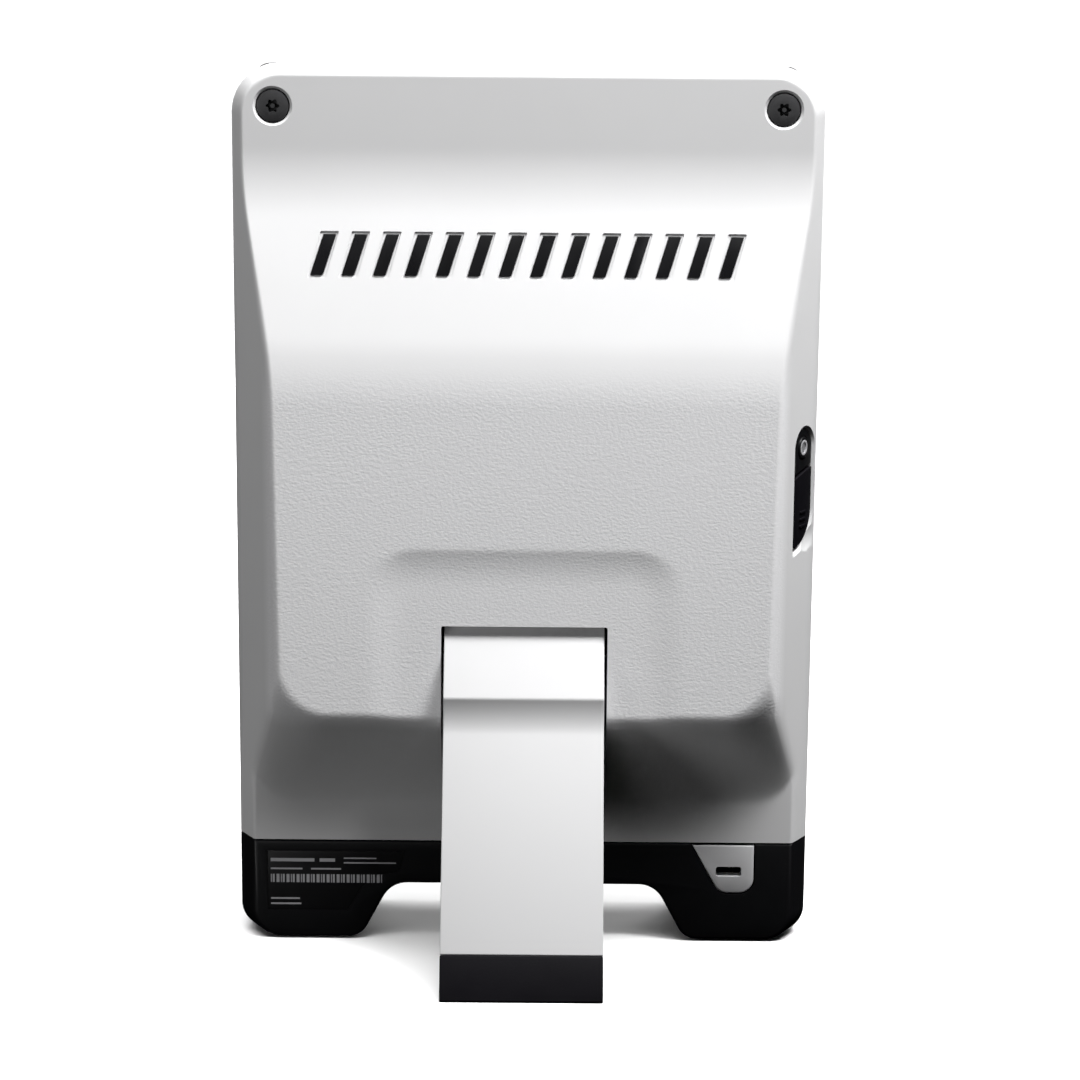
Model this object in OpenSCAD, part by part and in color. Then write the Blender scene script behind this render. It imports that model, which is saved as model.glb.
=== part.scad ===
// Portable launch monitor: a slim upright case with a battery bulge, a black base with an arch
// between its feet, and a fold-out leg at the back. Millimetres. +Z is up, the back faces -Y,
// +X is to the right when the back is seen. The origin is on the floor, at the middle of the box.
// Depths are counted backwards from the joint plane between the front housing and the rear cover.

/* [Case] */
// Width of the case
case_w = 165; // [160:1:172]
// Height of the case above the floor
case_h = 252; // [246:1:258]
// Depth of the front housing, ahead of the joint plane
front_depth = 28; // [26:1:32]
// Corner radius at the top
corner_r = 14; // [12:1:17]
// Wall thickness of the mouldings
wall = 2.6; // [2.2:0.1:3]
// Draft of the rear cover's sides, degrees
draft = 30; // [26:1:32]

/* [Rear cover] */
// Depth of the thin upper part
upper_depth = 5; // [4.5:0.5:6]
// Depth of the plane above the base
lower_depth = 8; // [7:0.5:9]
// Depth of the battery bulge at its lower edge
bulge_depth = 23; // [22:0.5:24]
// Height of the bulge's lower edge
bulge_low_z = 70; // [68:1:72]

/* [Base] */
// Height of the black base
base_h = 30; // [28:1:32]
// Height of the arch between the feet
arch_h = 17; // [15:1:18]
// Half width of the arch at its top
arch_half = 36; // [34:1:38]

/* [Leg] */
// Width of the leg
leg_w = 45; // [43:1:46]
// Angle between the opened leg and the case, degrees
leg_angle = 24; // [22:1:25]
// Height of the leg's pivot
pivot_z = 91.5; // [90:0.5:93]
// Depth of the leg's pivot
pivot_depth = 6.4; // [6:0.1:7]
// Radius of the hinge pin
pin_r = 3; // [2.5:0.5:3]

/* [Hidden] */
$fn = 64;
eps = 0.01;
half_w = case_w / 2;
slope = tan(draft);
foot_reach = 60;                         // depth of the opened leg's rear edge
parting_y = (foot_reach - front_depth) / 2;
hull_fn = 32;
face_top_z = 160;                        // height where the ramp has wholly become the bulge's face
ramp_top_z = 228;                        // height where the ramp leaves the thin upper part
ramp_z = 209;                            // height of a point on the ramp
ramp_depth = 8;                          // depth of that point
ramp_slope = 0.283;                      // how fast the ramp falls backwards
face_slope = 0.0357;                     // how fast the bulge's face falls backwards
underside_z = 42;                        // height where the bulge's underside ends
bulge_r = 12.5;                          // corner radius of the bulge's face
knuckle_a = 15;                          // leg knuckle's face at its edge, behind the pivot when folded
knuckle_tilt = 5;                        // how far the knuckle's face turns up from the blade's
head_gap = 1.5;                          // gap between the head and its well
leg_gap = 0.9;                           // gap beside the leg
run_gap = 0.05;                          // radial gap of the pin in the leg
well_half = leg_w / 2 + leg_gap;
screw_x = 70.7;
screw_z = 240.2;
screw_head_r = 4.5;
screw_r = 1.5;
boss_r = 4;
window_w = 126;                          // display window
window_z0 = 166;
window_z1 = 240;
face_recess = 2;                         // depth of the recess that holds the front panels
face_margin = 5;
front_y = front_depth;                   // y of the front face ahead of the joint plane
radome_z0 = 36;
radome_z1 = 163;
camera_z = 152;
camera_r = 9;
side_depth = 6.6;                        // depth of the middle of the side controls
side_z0 = 116.4;
side_z1 = 151.6;
side_half = 5.75;
button_z = 146;
button_r = 3.1;
usb_z = 128;
tray_in = 2.4;                           // depth of the tray's floor below the wall's face
board_in = 8.4;                          // depth of the side board below the wall's face
bar_count = 14;
bar_z = 199.85;
bar_h = 11.5;
bar_pitch = 8.7;
bar_w = 3.4;
bar_lean = 3.6;
pad_z = 1.4;                             // height of the base's pads
base_low = 0.6;                          // height of the base moulding's underside
chassis_d = -15.4;                       // depth of the chassis plate's rear face
chassis_t = 1.6;
board_d = -9.4;                          // depth of the main board's rear face
board_t = 1.6;
thread_r = 1.2;
plate_a = 11.8;                          // leg blade's outer face, behind the pivot when folded
knuckle_b = 21;                          // leg knuckle's edge, below the pivot when folded
head_r = knuckle_a * cos(knuckle_tilt) - knuckle_b * sin(knuckle_tilt);
blade_t = 7;
foot_b = 92.3;                           // top of the rubber foot, below the pivot when folded
base_bosses = [for (x = [-1, 1], y = [7, 21]) [x * 66, y]];
chassis_points = [for (x = [-71.5, 71.5], z = [52, 108, 178, 226]) [x, z]];
board_points = [for (x = [-50, 50], z = [119, 229]) [x, z]];
tray_points = [for (x = [-61, 61], z = [117, 165]) [x, z]];
bracket_points = [for (x = [-31.5, 31.5], z = [83, 100]) [x, z]];
leg_plate_rows = [34, 80];

// Places children with the joint plane at its height in the frame.
module seat() { translate([0, parting_y, 0]) children(); }

// Extrudes an X-Z outline from depth d0 back to depth d1.
module slab(d0, d1) {
    translate([0, -d0, 0]) rotate([90, 0, 0]) linear_extrude(d1 - d0) children();
}

// Extrudes a profile drawn as [-depth, z] across the width w, centred on x = 0.
module across(w) { rotate([90, 0, 90]) linear_extrude(w, center = true) children(); }

// Rounded rectangle from corner a to corner b.
module round_box(a, b, r) {
    translate([a[0] + r, a[1]]) square([b[0] - a[0] - 2 * r, b[1] - a[1]]);
    translate([a[0], a[1] + r]) square([b[0] - a[0], b[1] - a[1] - 2 * r]);
    for (x = [a[0] + r, b[0] - r], z = [a[1] + r, b[1] - r]) translate([x, z]) circle(r);
}

// Case outline with round upper corners, square at the bottom, drawn in from the sides and top.
module case_outline(inset, z_low, r = corner_r) {
    round_r = max(r - inset, 1.5);
    w = half_w - inset;
    top = case_h - inset;
    translate([-w, z_low]) square([2 * w, top - round_r - z_low]);
    translate([round_r - w, z_low]) square([2 * (w - round_r), top - z_low]);
    for (s = [-1, 1]) translate([s * (w - round_r), top - round_r]) circle(round_r);
}

// Depths of the ramp's plane and of the bulge's face at height z.
function ramp_at(z) = ramp_depth + (ramp_z - z) * ramp_slope;
function face_at(z) = bulge_depth - (z - bulge_low_z) * face_slope;

// The lower of a and b, rounded over k where they cross.
function soft_min(a, b, k) = min(a, b) - pow(max(k - abs(a - b), 0), 2) / k / 4;

// Depth of the rear surface along the middle, from the top down to the bulge's lower edge.
function rear_at(z) = -soft_min(-soft_min(ramp_at(z), face_at(z), 2.2), -upper_depth, 2.6);

// Side profile of the rear face, moved in by t.
function rear_profile(t) = [
    [0, case_h + 1], [t - upper_depth, case_h + 1],
    for (i = [0:16]) let (z = ramp_top_z + (face_top_z - ramp_top_z) * i / 16) [t - rear_at(z), z],
    [t - bulge_depth, bulge_low_z], [t - bulge_depth, base_h], [0, base_h]];

// Drafted body from the outline at the joint plane back to depth d.
module drafted_plate(t, d, z_low) {
    hull() {
        slab(0, eps) case_outline(t, z_low, $fn = hull_fn);
        slab(d - eps, d) case_outline(t + d * slope, z_low, $fn = hull_fn);
    }
}

// The battery bulge: a drafted block with round lower corners, from the plate to the face.
module drafted_bulge(t) {
    low = underside_z + t * 1.4;
    high = bulge_low_z + t * 1.4;
    w0 = half_w - t - lower_depth * slope;
    w1 = half_w - t - bulge_depth * slope;
    hull() {
        slab(0, eps) round_box([-w0 - 4, low - 8], [w0 + 4, case_h - 6 - t], 10, $fn = hull_fn);
        slab(lower_depth, lower_depth + eps)
            round_box([-w0, low], [w0, case_h - 6 - t], 12, $fn = hull_fn);
        slab(bulge_depth, bulge_depth + eps)
            round_box([-w1, high], [w1, case_h - 16 - t], bulge_r - t, $fn = hull_fn);
    }
}

// Solid body of the rear cover, moved in by t on every visible face.
module rear_body(t) {
    z_low = base_h + t;
    drafted_plate(t, upper_depth - t, z_low);
    intersection() {
        drafted_plate(t, lower_depth - t, z_low);
        translate([-half_w, -lower_depth, z_low]) cube([case_w, lower_depth + 1, 70]);
    }
    intersection() {
        drafted_bulge(t);
        across(case_w) polygon(rear_profile(t));
        drafted_plate(t, bulge_depth, z_low);
    }
}

// Space that the leg's head and blade sweep behind the case.
module leg_well(extra) {
    w = 2 * (well_half + extra);
    r = head_r + head_gap + extra;
    pivot() cylinder(h = w, r = r, center = true);
    translate([-w / 2, -40, base_h - eps]) cube([w, 40 - lower_depth + extra, pivot_z - base_h]);
    translate([-w / 2, -40, pivot_z - 1]) cube([w, 40 - pivot_depth - head_r + 1.2, 6.4 + extra]);
}

module front_housing() seat() color("whitesmoke") {
    floor_d = 5;
    difference() {
        slab(-front_depth, 0) case_outline(0, base_h);
        slab(floor_d - front_depth, 1) case_outline(wall, base_h + wall);
        slab(-front_depth - 1, face_recess - front_depth) panel_outline(0);
        slab(-front_depth - 1, floor_d - front_depth + 1)
            round_box([1 - window_w / 2, window_z0 + 3], [window_w / 2 - 1, window_z1 - 3], 3);
        slab(-front_depth - 1, floor_d - front_depth + 1)
            round_box([-66, radome_z0 + 10], [66, camera_z - 14], 4);
        translate([0, front_y + 1, camera_z]) rotate([90, 0, 0]) cylinder(h = 9, r = camera_r - 1);
        seal_ring(0.02);
        for (p = base_bosses) translate([p[0], p[1], base_h - 1]) cylinder(h = 14, r = screw_r);
    }
    for (s = [-1, 1]) difference() {
        translate([s * screw_x, 0, screw_z]) rotate([-90, 0, 0])
            cylinder(h = front_depth - floor_d + 1, r = boss_r);
        translate([s * screw_x, -1, screw_z]) rotate([-90, 0, 0]) cylinder(h = 21, r = screw_r);
    }
    for (p = base_bosses) difference() {
        translate([p[0], p[1], base_h + wall - 1]) cylinder(h = 10, r = boss_r - 0.6);
        translate([p[0], p[1], base_h]) cylinder(h = 8, r = screw_r);
    }
    housing_posts();
}

module panel_outline(gap) {
    round_box([face_margin + gap - half_w, radome_z0 - 1 + gap],
        [half_w - face_margin - gap, case_h - face_margin - gap], corner_r - face_margin);
}

module seal_ring(gap) {
    slab(-1.6, 0) difference() {
        case_outline(0.8 - gap, base_h + 0.8 - gap);
        case_outline(1.9 + gap, base_h + 1.9 + gap);
    }
}

module case_seal() seat() color("dimgray") seal_ring(0);

module rear_cover() seat() color("whitesmoke") {
    difference() {
        union() {
            difference() {
                rear_body(0);
                rear_body(wall);
                slab(-1, 0.1) case_outline(wall, base_h + wall);
            }
            intersection() { rear_body(wall / 2); leg_well(2.2); }
            for (s = [-1, 1]) translate([s * screw_x, 0, screw_z]) rotate([90, 0, 0])
                cylinder(h = upper_depth - 1, r = boss_r + 1.6);
            intersection() { rear_body(wall / 2); side_frame(2) side_outline(1.6, 7); }
        }
        leg_well(0);
        for (s = [-1, 1]) translate([s * screw_x, 0, screw_z]) {
            rotate([90, 0, 0]) translate([0, 0, -1]) cylinder(h = 10, r = screw_r + 0.25);
            translate([0, 2.2 - upper_depth, 0]) rotate([90, 0, 0]) cylinder(h = 9, r = screw_head_r + 0.4);
        }
        side_frame(8) side_outline(0.1, 22);
        bars(0.15, -0.8, 4);
        pivot() cylinder(h = 62, r = pin_r + 0.4, center = true);
    }
}

// Frame of the leg's pivot, with Z along the pin.
module pivot() { translate([0, -pivot_depth, pivot_z]) rotate([0, 90, 0]) children(); }

// Slanted bars along the ramp, grown by g, from height t0 to t1 above its surface.
module bars(g, t0, t1) {
    translate([0, -ramp_at(bar_z), bar_z]) rotate([-atan(ramp_slope), 0, 0]) for (i = [0:bar_count - 1])
        translate([(i - (bar_count - 1) / 2) * bar_pitch, 0, 0]) slab(t0, t1) polygon([
            [-bar_w / 2 - bar_lean / 2 - g, -bar_h / 2 - g], [bar_w / 2 - bar_lean / 2 + g, -bar_h / 2 - g],
            [bar_w / 2 + bar_lean / 2 + g, bar_h / 2 + g], [bar_lean / 2 - bar_w / 2 - g, bar_h / 2 + g]]);
}

// Local frame on the drafted right wall: X out of the wall, Y forwards along it, Z up.
module side_frame(out) {
    translate([half_w - side_depth * slope, -side_depth, 0]) rotate([0, 0, -draft])
        translate([out, 0, 0]) children();
}

// Long outline of the side controls, grown by g, extruded inwards by h.
module side_outline(g, h) { rotate([90, 0, 90]) translate([0, 0, -h]) linear_extrude(h) side_shape(g); }

module side_shape(g) {
    w = side_half + g;
    translate([0, side_z1 + g - w]) circle(w);
    translate([-w, side_z0 + 12]) square([2 * w, side_z1 - side_z0 - 12 - side_half]);
    intersection() {
        translate([-w, side_z0 + 12]) circle(2 * w);
        translate([-w, side_z0 - g]) square([2 * w, 13 + g]);
    }
}

module badge_bars() seat() color("black") bars(0, -0.75, 0.06);

// Points along an arc about [x, z].
function arc(x, z, r, a0, a1, n = 10) =
    [for (i = [0:n]) let (a = a0 + (a1 - a0) * i / n) [x + r * cos(a), z + r * sin(a)]];

// Right half of the arch between the feet, grown by g.
function arch_half_points(g) = concat(
    [[0, arch_h + g]],
    arc(arch_half - 2.5, arch_h - 8, 8 + g, 90, 28.6),
    arc(arch_half + 14.7, base_low + 6, 6 - g, 208.6, 270),
    [[arch_half + 14.7, -5], [0, -5]]);

module arch(g) {
    for (s = [0, 1]) mirror([s, 0]) polygon(arch_half_points(g));
}

module base_outline(inset, z0) {
    w = half_w - inset;
    r = 8;
    translate([-w, z0 + r]) square([2 * w, base_h - z0 - r]);
    translate([r - w, z0]) square([2 * (w - r), base_h - z0]);
    for (s = [-1, 1]) translate([s * (w - r), z0 + r]) circle(r);
}

module base_body(t) {
    z0 = base_low + t;
    slab(t - front_depth, 0) base_outline(t, z0);
    hull() {
        slab(0, eps) base_outline(t, z0, $fn = hull_fn);
        slab(lower_depth - t, lower_depth - t + eps)
            base_outline(t + lower_depth * slope, z0, $fn = hull_fn);
    }
}

module lock_outline(g) {
    polygon(concat([[48.9 - g, base_h - 0.7 + g], [67 + g, base_h - 0.7 + g]],
        arc(62.8, 19, 4.2 + g, 0, -90), arc(59.4, 19, 4.2 + g, -90, -155)));
}

module rating_outline(g) {
    polygon([[-74 - g, 26.6 + g], [-34.5 + g, 26.6 + g], [-36 + g, 20.8 - g], [-42 + g, 19.6 - g],
        [-47 + g, 16 - g], [-51 + g, 9 - g], [-74 - g, 9 - g]]);
}

module base_cover() seat() color("black") {
    tube_r = 4.2;
    difference() {
        union() {
            difference() {
                base_body(0);
                difference() {
                    base_body(wall);
                    slab(-60, 60) arch(wall);
                }
                translate([wall - half_w, -lower_depth + wall + 0.6, base_h - 4])
                    cube([case_w - 2 * wall, front_depth + lower_depth - 2 * wall - 1.2, 8]);
            }
            for (p = base_bosses) translate([p[0], p[1], base_low])
                cylinder(h = base_h - base_low, r = tube_r);
        }
        slab(-60, 60) arch(0);
        for (p = base_bosses) translate([p[0], p[1], 0]) {
            cylinder(h = 3.6, r = 3.2);
            cylinder(h = 40, r = screw_r + 0.25);
        }
        for (s = [-1, 1]) translate([s * 64.5, 11, -1]) pad_shape(pad_z + 1, 0.15);
        slab(5, 9) lock_outline(0.2);
        slab(lower_depth - 0.35, lower_depth + 1) rating_outline(0.1);
    }
}

module pad_shape(h, g) {
    linear_extrude(h) round_box([-11 - g, -13 - g], [11 + g, 13 + g], 4 + g);
}

module foot_pads() seat() color("dimgray")
    for (s = [-1, 1]) translate([s * 64.5, 11, 0]) pad_shape(pad_z, 0);

module base_screws() seat() color("gray") for (p = base_bosses) translate([p[0], p[1], 0]) {
    translate([0, 0, pad_z + 0.2]) cylinder(h = 2, r = 2.9);
    translate([0, 0, pad_z + 0.2]) cylinder(h = 35, r = screw_r - 0.05);
}

module case_screws() seat() color("black")
    for (s = [-1, 1]) translate([s * screw_x, 0, screw_z]) rotate([90, 0, 0]) difference() {
        union() {
            translate([0, 0, upper_depth - 2.15]) cylinder(h = 2.1, r = screw_head_r);
            translate([0, 0, -17]) cylinder(h = upper_depth + 15, r = screw_r - 0.05);
        }
        translate([0, 0, upper_depth - 1.2]) torx_socket(1.5);
    }

// Six-lobed socket with its centre post left standing.
module torx_socket(h) {
    difference() {
        union() for (i = [0:2]) rotate([0, 0, i * 60]) translate([-1.65, -0.55, 0]) cube([3.3, 1.1, h]);
        translate([0, 0, -1]) cylinder(h = h + 2, r = 0.5);
    }
}

module radome_cover() seat() color("black") difference() {
    slab(-front_depth, face_recess - front_depth - 0.05) intersection() {
        panel_outline(0.2);
        translate([-half_w, 0]) square([case_w, radome_z1]);
    }
    translate([0, front_y + 1, camera_z]) rotate([90, 0, 0]) cylinder(h = 4, r = camera_r + 0.1);
}

module camera_window() seat() color("black")
    translate([0, front_y, camera_z]) rotate([90, 0, 0]) cylinder(h = 1.6, r = camera_r);

module display_window() seat() color("black") slab(-front_depth, 0.3 + face_recess - 0.5 - front_depth)
    intersection() {
        panel_outline(0.2);
        translate([-half_w, radome_z1 + 0.4]) square([case_w, 100]);
    }

module window_tape() seat() color("dimgray") slab(1.8 - front_depth, 1.95 - front_depth) difference() {
    round_box([-70, window_z0 + 0.5], [70, window_z1 + 2], 4);
    round_box([-64, window_z0 + 3], [64, window_z1 - 3], 3);
}

module display_panel() seat() color("darkslategray") slab(2.2 - front_depth, 4.9 - front_depth)
    round_box([-58.5, 170], [58.5, 236], 2);

module display_frame() seat() color("silver") slab(5.05 - front_depth, 6 - front_depth)
    difference() {
        round_box([-64, window_z0], [64, window_z1], 3);
        round_box([-20, 190], [20, 215], 3);
    }

module posts(points, d0, d1, r) {
    for (p = points) translate([p[0], -d0, p[1]]) rotate([90, 0, 0]) cylinder(h = d1 - d0, r = r);
}

// Pan-head screws whose heads sit on depth d, with shanks of length l ahead of them.
module screws(points, d, l, head_r = 2.5) {
    posts(points, d, d + 1.6, head_r);
    posts(points, d - l, d + 0.5, thread_r);
}

module chassis_plate() seat() color("silver") difference() {
    union() {
        slab(chassis_d - chassis_t, chassis_d) round_box([-76, 40], [76, 244], 6);
        posts(board_points, chassis_d, board_d - board_t, 3);
        posts(tray_points, chassis_d, -2, 3);
    }
    slab(-30, -10) round_box([-13, camera_z - 12], [13, camera_z + 12], 2);
    posts(chassis_points, -30, -10, thread_r + 0.3);
    posts(concat(board_points, tray_points), -20, 0, thread_r + 0.05);
    posts(bracket_points, -20, -10, thread_r + 0.05);
    posts([[-screw_x, screw_z], [screw_x, screw_z]], -20, -10, boss_r + 0.4);
}

module housing_posts() {
    difference() {
        posts(chassis_points, 4.5 - front_depth, chassis_d - chassis_t, 3.4);
        posts(chassis_points, 5.5 - front_depth, chassis_d, thread_r + 0.05);
    }
}

module chassis_screws() seat() color("gray") screws(chassis_points, chassis_d, 6);

module radar_board() seat() color("darkgreen") slab(5.1 - front_depth, 6.7 - front_depth)
    round_box([-66, 42], [66, 138.5], 3);

module radar_patches() seat() color("goldenrod") for (x = [-4:4], z = [0:5])
    translate([x * 13, 0, 54 + z * 14.5]) slab(5 - front_depth, 5.1 - front_depth)
        square(8, center = true);

module radar_shield() seat() color("silver") difference() {
    slab(6.7 - front_depth, 10.6 - front_depth) round_box([-44, 56], [44, 126], 2);
    slab(6 - front_depth, 10.1 - front_depth) round_box([-43.4, 56.6], [43.4, 125.4], 1.5);
}

module main_board() seat() color("darkgreen") difference() {
    slab(board_d - board_t, board_d) round_box([-56, 113], [56, 236], 3);
    posts(board_points, -20, 0, thread_r + 0.2);
    slab(-20, 0) round_box([-13, camera_z - 13], [13, camera_z + 13], 2);
}

module board_screws() seat() color("gray") screws(board_points, board_d, 5);

module board_chips() seat() color("black") {
    for (c = [[-34, 196, 17], [-8, 205, 12], [-38, 140, 10], [30, 142, 9], [34, 178, 13]])
        slab(board_d, board_d + 1.2) translate([c[0], c[1]]) square(c[2], center = true);
    for (i = [0:9]) slab(board_d, board_d + 1.8)
        translate([-46 + i * 7, 223]) square([3.6, 5.5], center = true);
}

module wireless_module() seat() color("silver") slab(board_d, board_d + 2.2)
    round_box([24, 200], [48, 218], 0.8);

module heat_sink() seat() color("silver") difference() {
    slab(chassis_d, board_d - board_t) round_box([-42, 178], [-4, 218], 2);
    for (i = [0:5]) translate([-39 + i * 6.2, 0.6 - chassis_d - 4, 170]) cube([3.4, 3.2, 60]);
}

module battery_tray() seat() color("dimgray") difference() {
    union() {
        slab(-2, -0.4) round_box([-66, 112.5], [66, 170], 3);
        slab(-0.5, 5) round_box([-56, 112.5], [56, 170], 3);
    }
    slab(-0.41, 6) round_box([-54.2, 114.3], [54.2, 168.2], 2);
    posts(tray_points, -3, 6, thread_r + 0.2);
    slab(-3, 1) round_box([-20, 130], [20, 152], 3);
}

module battery_screws() seat() color("gray") screws(tray_points, -0.4, 9);

module battery_pack() seat() color("royalblue") {
    for (z = [0:2]) translate([0, -7.6, 123.1 + z * 16.3]) rotate([0, 90, 0])
        cylinder(h = 106, r = 7.9, center = true);
    slab(0.2, 3) translate([-50, 118]) square([100, 44]);
}

module camera_board() seat() color("darkgreen")
    slab(-18.4, -17.2) round_box([-11, camera_z - 10], [11, camera_z + 10], 1);

module camera_barrel() seat() color("black") translate([0, 0, camera_z]) rotate([-90, 0, 0])
    difference() {
        union() {
            translate([0, 0, 18.4]) cylinder(h = 7.4, r = 6.2);
            translate([-8, -8, 18.4]) cube([16, 16, 2.4]);
        }
        translate([0, 0, 22]) cylinder(h = 5, r = 4.6);
    }

module camera_lens() seat() color("skyblue") translate([0, 0, camera_z]) rotate([-90, 0, 0]) {
    translate([0, 0, 22]) cylinder(h = 1.4, r = 4.55);
    intersection() {
        translate([0, 0, 22]) cylinder(h = 3.6, r = 4.55);
        translate([0, 0, 17.4]) sphere(7.4);
    }
}

module hinge_bracket() seat() color("gray") {
    ear_in = well_half + 2.5;
    ear_out = ear_in + 2;
    difference() {
        union() {
            slab(chassis_d, chassis_d + 1.6) round_box([-36, 79], [36, 104], 2);
            for (s = [0, 1]) mirror([s, 0, 0]) translate([ear_in, 0, 0]) rotate([90, 0, 90])
                linear_extrude(ear_out - ear_in) union() {
                    translate([-pivot_depth, pivot_z]) circle(8);
                    translate([-pivot_depth, pivot_z - 8]) square([pivot_depth - chassis_d - 1, 16]);
                }
        }
        pivot() cylinder(h = 90, r = pin_r + 0.02, center = true);
        posts(bracket_points, -20, -10, thread_r + 0.2);
        slab(-20, -13) round_box([-16, 84], [16, 99], 2);
    }
}

module bracket_screws() seat() color("gray") screws(bracket_points, chassis_d + 1.6, 3.1);

module hinge_pin() seat() color("silver") difference() {
    pivot() cylinder(h = 2 * (well_half + 6.6), r = pin_r, center = true);
    for (s = [-1, 1]) pivot() translate([0, 0, s * (well_half + 5.3)]) ring(0.8, pin_r + 1, pin_r - 0.8);
}

module ring(h, r_out, r_in) difference() {
    cylinder(h = h, r = r_out, center = true);
    cylinder(h = h + 1, r = r_in, center = true);
}

module pin_clips() seat() color("gray") for (s = [-1, 1])
    pivot() translate([0, 0, s * (well_half + 5.3)]) difference() {
        ring(0.7, 5, pin_r - 0.78);
        translate([0, -6, 0]) cube([3.4, 12, 3], center = true);
    }

module friction_washers() seat() color("black") for (s = [-1, 1])
    pivot() translate([0, 0, s * (leg_w / 2 + leg_gap / 2)]) ring(leg_gap - 0.2, 6, pin_r + run_gap);

// Frame of the leg: profiles are drawn as [-a, -b], folded flat, about the pivot, and opened.
module leg_across(w) translate([0, -pivot_depth, pivot_z])
    across(w) rotate([0, 0, -leg_angle]) scale([-1, -1]) children();

// Distance from the pivot down the folded leg to the floor under the opened leg.
function sole(a) = (pivot_z + a * sin(leg_angle)) / cos(leg_angle);

module leg_profile() {
    inner = plate_a - blade_t;
    circle(6.6);
    intersection() {
        circle(head_r);
        translate([0, -head_r]) square([head_r, head_r + 1]);
    }
    polygon(concat([[-6.6, 0], [0, 0], [head_r * cos(knuckle_tilt), -head_r * sin(knuckle_tilt)],
        [knuckle_a, knuckle_b]],
        [for (i = [0:8]) let (k = i / 8)
            [plate_a + (knuckle_a - plate_a) * pow(1 - k, 2.4), knuckle_b + 0.6 + 6.4 * k]],
        [[plate_a, foot_b], [inner, foot_b], [inner, 22], [2, 14], [-4, 9], [-6.6, 3]]));
}

module leg() seat() color("whitesmoke") difference() {
    inner = plate_a - blade_t;
    leg_across(leg_w) leg_profile();
    leg_across(leg_w - 5) translate([inner - 1, 27]) square([blade_t - 1.6, foot_b - 27 - 4]);
    leg_across(leg_w - 2.6) translate([inner - 1, 25.5]) square([2.6, foot_b - 25.5 - 2.5]);
    leg_across(leg_w - 12.6) translate([inner + 2, foot_b - 4]) square([3, 5]);
    pivot() cylinder(h = leg_w + 2, r = pin_r + run_gap, center = true);
}

module leg_plate() seat() color("dimgray") difference() {
    leg_across(leg_w - 3) translate([plate_a - blade_t, 25.7]) square([1.5, foot_b - 25.7 - 2.8]);
    leg_plate_points() cylinder(h = 8, r = thread_r + 0.2, center = true);
}

module leg_plate_points() translate([0, -pivot_depth, pivot_z]) rotate([-leg_angle, 0, 0])
    for (x = [-12, 12], b = leg_plate_rows)
        translate([x, blade_t - plate_a, -b]) rotate([-90, 0, 0]) children();

module leg_plate_screws() seat() color("gray") leg_plate_points() {
    cylinder(h = 1.2, r = 2.2);
    translate([0, 0, -3.5]) cylinder(h = 4, r = thread_r);
}

module leg_foot() seat() color("black") {
    leg_across(leg_w) polygon([[plate_a, foot_b + eps], [plate_a, sole(plate_a) - 0.5],
        [plate_a - 0.6, sole(plate_a - 0.6)], [plate_a - 13, sole(plate_a - 13)],
        [plate_a - 13.6, sole(plate_a - 13.6) - 0.9], [plate_a - 9.5, foot_b + eps]]);
    leg_across(leg_w - 13) translate([plate_a - blade_t + 2.1, foot_b - 3.9]) square([2.8, 4]);
}

module side_tray() seat() color("black") {
    floor_in = 3.6;
    difference() {
        side_frame(-0.6) side_outline(-0.15, floor_in - 0.6);
        intersection() {
            side_frame(1) side_block(-9, 9, side_z0 - 3, side_z1, tray_in + 1.05);
            below_split(0.9);
        }
        side_frame(0) rotate([0, -90, 0]) translate([button_z, 0, 0]) cylinder(h = 9, r = button_r + 0.3);
        side_frame(1) side_block(-1.9, 1.9, usb_z - 4.8, usb_z + 4.8, 9);
    }
    for (z = [121.6, 150.2]) side_frame(0.1 - floor_in)
        side_block(-1.5, 1.5, z - 0.6, z + 0.6, board_in - floor_in + 0.1);
}

// Everything below the slanted line between the button's bezel and the door.
module below_split(g) side_frame(2) rotate([90, 0, 90]) translate([0, 0, -9]) linear_extrude(9)
    polygon([[-9, side_z0 - 4], [9, side_z0 - 4], [9, 140.8 + g], [-9, 136.8 + g]]);

module side_block(y0, y1, z0, z1, h) translate([-h, y0, z0]) cube([h, y1 - y0, z1 - z0]);

module power_button() seat() color("black") side_frame(0) rotate([0, -90, 0])
    translate([button_z, 0, 0]) difference() {
        union() {
            translate([0, 0, 0.2]) cylinder(h = 3.6, r = button_r);
            translate([0, 0, 3.4]) cylinder(h = 1.3, r = 1.4);
        }
        cylinder(h = 0.5, r = 2.3);
    }

module power_ring() seat() color("white") side_frame(0) rotate([0, -90, 0])
    translate([button_z, 0, 0.35]) ring(0.3, 2.2, 1.5);

module power_switch() seat() color("silver") side_frame(-5.6)
    side_block(-3, 3, button_z - 3, button_z + 3, board_in - 5.6);

module side_board() seat() color("darkgreen") side_frame(-board_in)
    side_block(-5.6, 5.6, 114, 156, 1.2);

module usb_port() seat() color("silver") difference() {
    side_frame(-3.2) side_block(-1.6, 1.6, usb_z - 4.5, usb_z + 4.5, 5.2);
    side_frame(-3.1) side_block(-1.3, 1.3, usb_z - 4.2, usb_z + 4.2, 4.2);
}

module port_door() seat() color("black") intersection() {
    side_frame(-0.25) side_outline(-0.4, 1.65);
    below_split(0);
}

module lock_plate() seat() color("silver") difference() {
    union() {
        slab(5.1, lower_depth) lock_outline(0);
        slab(4, 5) intersection() {
            lock_outline(1.2);
            translate([-half_w, 0]) square([case_w, base_h - 0.4]);
        }
        slab(4.5, 5.2) lock_outline(-0.5);
    }
    slab(0, 10) round_box([56, 19.9], [63.4, 22.8], 0.5);
}

module rating_plate() seat() color("black") slab(lower_depth - 0.3, lower_depth) rating_outline(0);

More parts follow.
